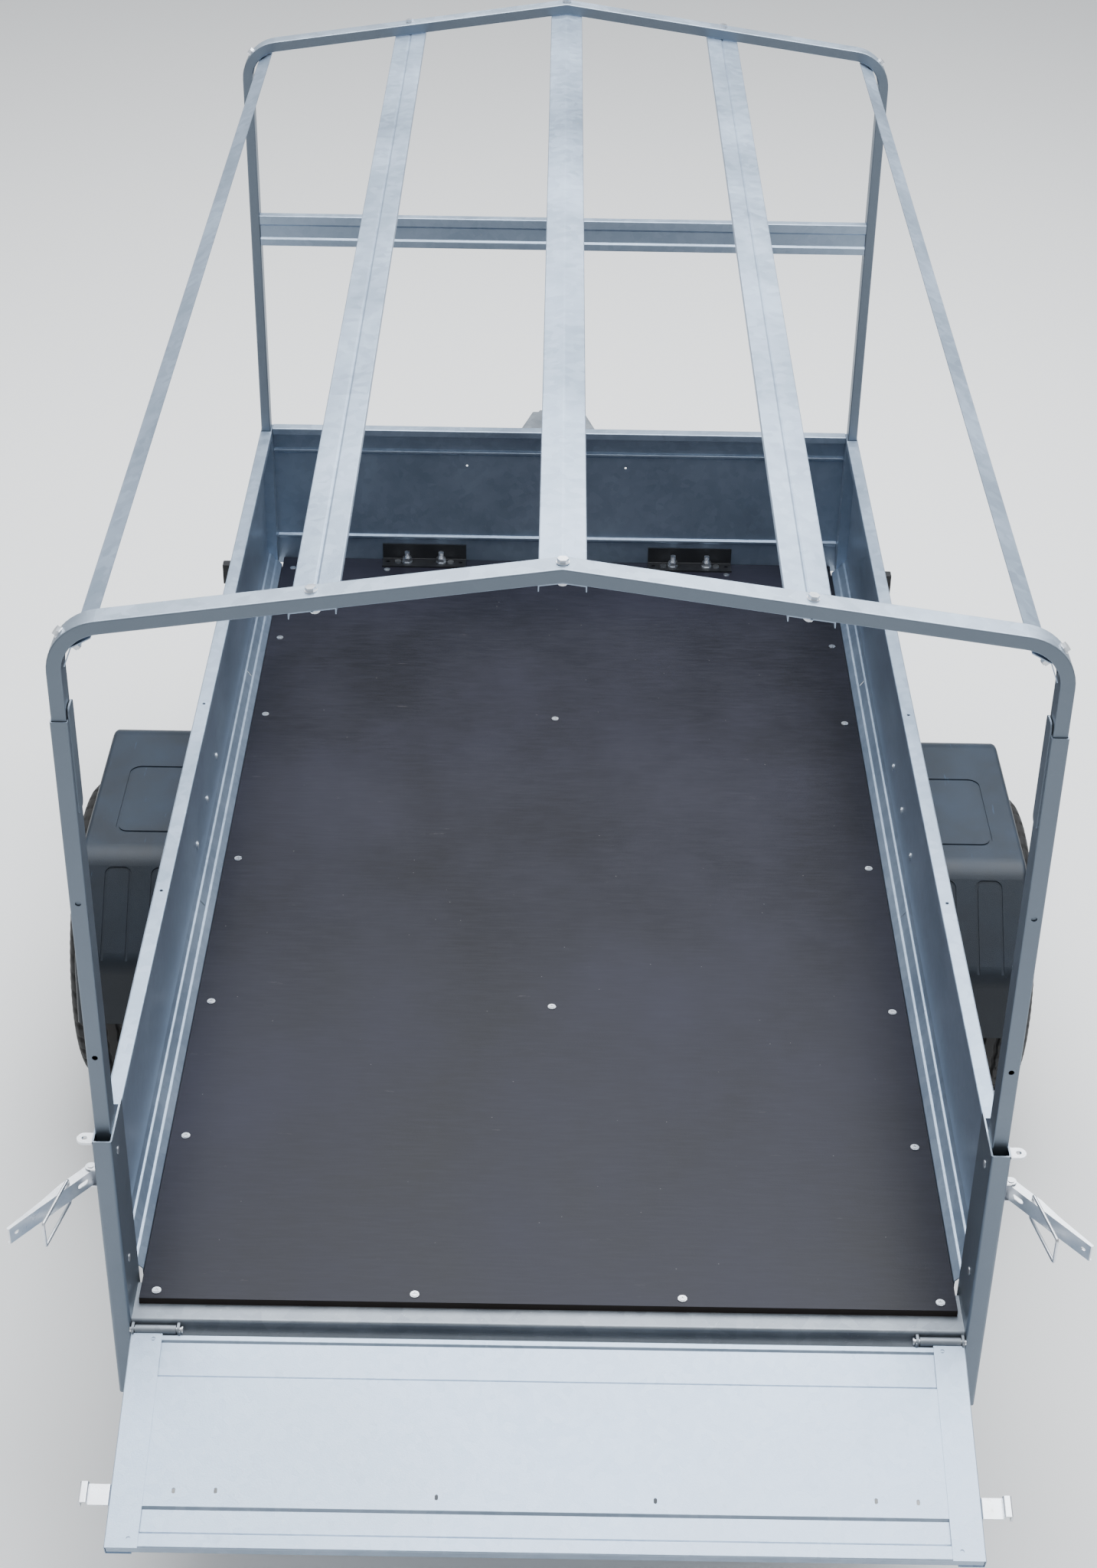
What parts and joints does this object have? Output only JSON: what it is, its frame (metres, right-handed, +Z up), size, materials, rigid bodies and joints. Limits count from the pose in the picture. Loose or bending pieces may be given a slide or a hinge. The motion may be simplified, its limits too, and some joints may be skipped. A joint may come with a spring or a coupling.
{
  "type": "livestock trailer",
  "caption": "Single-axle livestock trailer with low steel walls, a lowered tailgate and a bare hooped frame for a cover.",
  "frame": {"origin": "on the ground under the middle of the bounding box", "axes": "+X to the right seen from behind, +Y forwards to the coupling, +Z up"},
  "size_m": [1.8014, 3.8092, 1.7822],
  "materials": {
    "galv": "hot-dip galvanised sheet, matt with faint spangle",
    "frame_steel": "hot-dip galvanised section, dull",
    "zinc": "zinc-plated fasteners and fittings",
    "hub_steel": "grey cast and pressed steel",
    "rim_steel": "silver enamel",
    "black_metal": "black coated steel",
    "floor_film": "film-faced plywood, dark brown",
    "fender_plastic": "moulded black plastic",
    "lamp_plastic": "black plastic",
    "red_lens": "red lens",
    "amber_lens": "clear marker lens",
    "rubber": "black rubber",
    "tyre": "black tyre rubber"
  },
  "bodies": {
    "trailer": {"floor_board": "floor_film", "floor_screws": "zinc", "left_side_panel": "galv", "right_side_panel": "galv", "front_panel": "galv", "rear_posts": "galv", "hoop_sleeves": "galv", "post_rivets": "zinc", "front_corner_posts": "galv", "rear_hoop": "galv", "front_hoop": "galv", "roof_slats": "galv", "corner_slats": "galv", "front_crossbar": "galv", "crossmembers": "frame_steel", "rear_crossmember": "frame_steel", "side_sills": "frame_steel", "drawbar_arms": "frame_steel", "drawbar_nose": "frame_steel", "drawbar_plates": "frame_steel", "floor_clamp_brackets": "black_metal", "drawbar_u_bolts": "zinc", "clamp_nuts": "zinc", "latch_bases": "zinc", "tie_eyes": "zinc", "axle_beam": "frame_steel", "axle_rubbers": "rubber", "left_fender": "fender_plastic", "right_fender": "fender_plastic", "coupling_housing": "hub_steel", "pivot_pins": "zinc", "prop_sleeve": "frame_steel", "light_bar": "frame_steel", "lamp_housings": "lamp_plastic", "tail_lenses": "red_lens", "side_lenses": "amber_lens", "frame_bolts": "zinc", "m8_bolts": "zinc"},
    "tailgate": {"tailgate_panel": "galv", "tailgate_end_caps": "galv", "tailgate_hooks": "zinc", "hinge_tabs": "frame_steel"},
    "coupling_handle": {"coupling_handle": "black_metal"},
    "ball_clamp": {"ball_clamp": "hub_steel"},
    "prop_leg": {"prop_leg": "frame_steel"},
    "prop_clamp_screw": {"prop_clamp_screw": "zinc"},
    "left_latch_lever": {"left_latch_lever": "zinc"},
    "left_latch_bail": {"left_latch_bail": "zinc"},
    "left_swing_arm": {"left_swing_arm": "frame_steel"},
    "left_wheel": {"left_wheel_hub": "hub_steel", "left_rim": "rim_steel", "left_tyre": "tyre", "left_wheel_bolts": "zinc"},
    "right_latch_lever": {"right_latch_lever": "zinc"},
    "right_latch_bail": {"right_latch_bail": "zinc"},
    "right_swing_arm": {"right_swing_arm": "frame_steel"},
    "right_wheel": {"right_wheel_hub": "hub_steel", "right_rim": "rim_steel", "right_tyre": "tyre", "right_wheel_bolts": "zinc"}
  },
  "joints": [
    {"name": "tailgate_hinge", "type": "hinge", "parent": "trailer", "child": "tailgate", "pos_m": [0, -1.57237, 0.466], "axis": [-1, 0, 0], "range_deg": [0, 106.4]},
    {"name": "right_latch_pivot", "type": "hinge", "parent": "trailer", "child": "right_latch_lever", "pos_m": [0.678, -1.52037, 0.731], "axis": [0, 0, 1], "range_deg": [0, 142]},
    {"name": "right_bail_pivot", "type": "hinge", "parent": "right_latch_lever", "child": "right_latch_bail", "pos_m": [0.7057, -1.55583, 0.731], "axis": [0, 0, -1], "range_deg": [0, 159.3]},
    {"name": "right_swing_arm", "type": "hinge", "parent": "trailer", "child": "right_swing_arm", "pos_m": [0.7, -0.19222, 0.345], "axis": [-1, 0, 0], "range_deg": [-4, 7], "stiffness_Nm_per_rad": 3000, "springref_deg": -1.72},
    {"name": "right_wheel_spin", "type": "hinge", "parent": "right_swing_arm", "child": "right_wheel", "pos_m": [0.821, -0.33137, 0.289], "axis": [1, 0, 0], "continuous": true},
    {"name": "left_latch_pivot", "type": "hinge", "parent": "trailer", "child": "left_latch_lever", "pos_m": [-0.678, -1.52037, 0.731], "axis": [0, 0, -1], "range_deg": [0, 142]},
    {"name": "left_bail_pivot", "type": "hinge", "parent": "left_latch_lever", "child": "left_latch_bail", "pos_m": [-0.7057, -1.55583, 0.731], "axis": [0, 0, 1], "range_deg": [0, 159.3]},
    {"name": "left_swing_arm", "type": "hinge", "parent": "trailer", "child": "left_swing_arm", "pos_m": [-0.7, -0.19222, 0.345], "axis": [-1, 0, 0], "range_deg": [-4, 7], "stiffness_Nm_per_rad": 3000, "springref_deg": -1.72},
    {"name": "left_wheel_spin", "type": "hinge", "parent": "left_swing_arm", "child": "left_wheel", "pos_m": [-0.821, -0.33137, 0.289], "axis": [1, 0, 0], "continuous": true},
    {"name": "coupling_handle_pivot", "type": "hinge", "parent": "trailer", "child": "coupling_handle", "pos_m": [0, 1.81463, 0.451], "axis": [-1, 0, 0], "range_deg": [0, 50]},
    {"name": "ball_clamp_pivot", "type": "hinge", "parent": "trailer", "child": "ball_clamp", "pos_m": [0, 1.83523, 0.416], "axis": [-1, 0, 0], "range_deg": [0, 6.2]},
    {"name": "prop_slide", "type": "slide", "parent": "trailer", "child": "prop_leg", "axis": [0, 0, 1], "range_m": [0, 0.28]},
    {"name": "prop_clamp_turn", "type": "hinge", "parent": "trailer", "child": "prop_clamp_screw", "pos_m": [0, 0.975, 0.37], "axis": [0, 1, 0], "range_deg": [0, 180]}
  ],
  "couplings": [
    {"joint": "right_bail_pivot", "follows": "right_latch_pivot", "ratio": 1.1183},
    {"joint": "left_bail_pivot", "follows": "left_latch_pivot", "ratio": 1.1183},
    {"joint": "ball_clamp_pivot", "follows": "coupling_handle_pivot", "ratio": 0.12}
  ]
}
